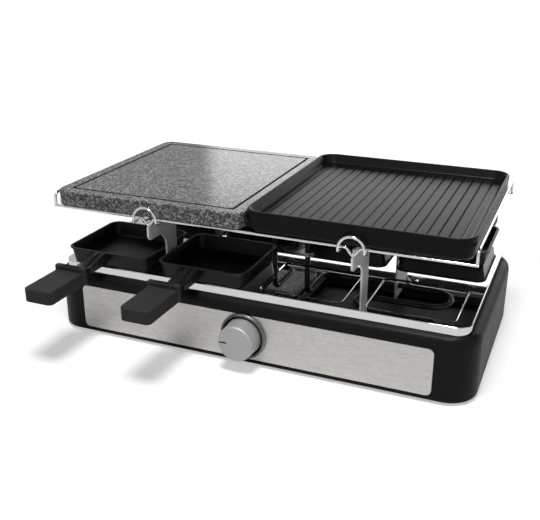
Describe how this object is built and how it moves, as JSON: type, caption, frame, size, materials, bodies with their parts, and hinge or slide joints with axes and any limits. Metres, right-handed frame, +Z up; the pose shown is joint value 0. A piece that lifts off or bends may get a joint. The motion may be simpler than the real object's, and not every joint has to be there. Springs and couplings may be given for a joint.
{
  "type": "raclette grill",
  "caption": "Electric raclette grill: stone and ribbed plates on a wire frame over a heater, with small pans on a steel tray and a thermostat knob.",
  "frame": {"origin": "on the table, midway between the tips of the front and rear pan grips, on the base's middle plane", "axes": "+Z up, +X to the right as seen from the knob's side, +Y to the rear"},
  "size_m": [0.486, 0.456, 0.1752],
  "materials": {
    "housing": "black, lightly grained",
    "fascia": "brushed along its length",
    "tray": "mirror-polished stainless sheet",
    "knob": "silver-grey paint, satin",
    "knob_ring": "glossy black",
    "pointer": "black inlay",
    "rubber": "black",
    "zinc": "zinc-plated sheet",
    "brass": "turned",
    "ceramic": "unglazed ceramic",
    "heater": "dark green oxide",
    "post": "stamped stainless sheet",
    "wire": "bright plated wire",
    "stone": "grey speckled granite, matte",
    "grill": "black non-stick coat",
    "pan": "black non-stick coat",
    "grip": "dark grey, satin"
  },
  "bodies": {
    "base": {"bottom_plate": "zinc", "cord_gland": "rubber", "foot_front_left": "rubber", "foot_front_right": "rubber", "foot_rear_left": "rubber", "foot_rear_right": "rubber", "front_fascia": "fascia", "heat_shield": "zinc", "heater": "heater", "heater_bush_left": "ceramic", "heater_bush_right": "ceramic", "heater_plate": "zinc", "housing": "housing", "knob_ring": "knob_ring", "plate_stop_front_left": "wire", "plate_stop_front_right": "wire", "plate_stop_rear_left": "wire", "plate_stop_rear_right": "wire", "post_front_left": "post", "post_front_right": "post", "post_rear_left": "post", "post_rear_right": "post", "rail_front": "wire", "rail_left": "wire", "rail_rear": "wire", "rail_right": "wire", "terminal_block": "ceramic", "thermostat_body": "ceramic", "thermostat_nut": "brass", "tray": "tray"},
    "knob": {"knob": "knob", "knob_pointer": "pointer", "thermostat_shaft": "brass"},
    "stone": {"stone_plate": "stone"},
    "grill": {"grill_plate": "grill"},
    "pan_front_1_body": {"pan_front_1": "pan", "grip_front_1": "grip"},
    "pan_front_2_body": {"pan_front_2": "pan", "grip_front_2": "grip"},
    "pan_rear_1_body": {"pan_rear_1": "pan", "grip_rear_1": "grip"},
    "pan_rear_2_body": {"pan_rear_2": "pan", "grip_rear_2": "grip"},
    "pan_rear_3_body": {"pan_rear_3": "pan", "grip_rear_3": "grip"},
    "pan_rear_4_body": {"pan_rear_4": "pan", "grip_rear_4": "grip"}
  },
  "joints": [
    {"name": "knob_turn", "type": "hinge", "parent": "base", "child": "knob", "pos_m": [0, -0.137, 0.035], "axis": [0, 1, 0], "range_deg": [0, 270]},
    {"name": "pan_front_1_slide", "type": "slide", "parent": "base", "child": "pan_front_1_body", "axis": [0, -1, 0], "range_m": [0, 0.1]},
    {"name": "pan_front_2_slide", "type": "slide", "parent": "base", "child": "pan_front_2_body", "axis": [0, -1, 0], "range_m": [0, 0.1]},
    {"name": "pan_rear_1_slide", "type": "slide", "parent": "base", "child": "pan_rear_1_body", "axis": [0, 1, 0], "range_m": [-0.02, 0.08]},
    {"name": "pan_rear_2_slide", "type": "slide", "parent": "base", "child": "pan_rear_2_body", "axis": [0, 1, 0], "range_m": [-0.02, 0.08]},
    {"name": "pan_rear_3_slide", "type": "slide", "parent": "base", "child": "pan_rear_3_body", "axis": [0, 1, 0], "range_m": [-0.02, 0.08]},
    {"name": "pan_rear_4_slide", "type": "slide", "parent": "base", "child": "pan_rear_4_body", "axis": [0, 1, 0], "range_m": [-0.02, 0.08]},
    {"name": "stone_lift", "type": "slide", "parent": "base", "child": "stone", "axis": [0, 0, 1], "range_m": [0, 0.06]},
    {"name": "grill_lift", "type": "slide", "parent": "base", "child": "grill", "axis": [0, 0, 1], "range_m": [0, 0.06]}
  ]
}
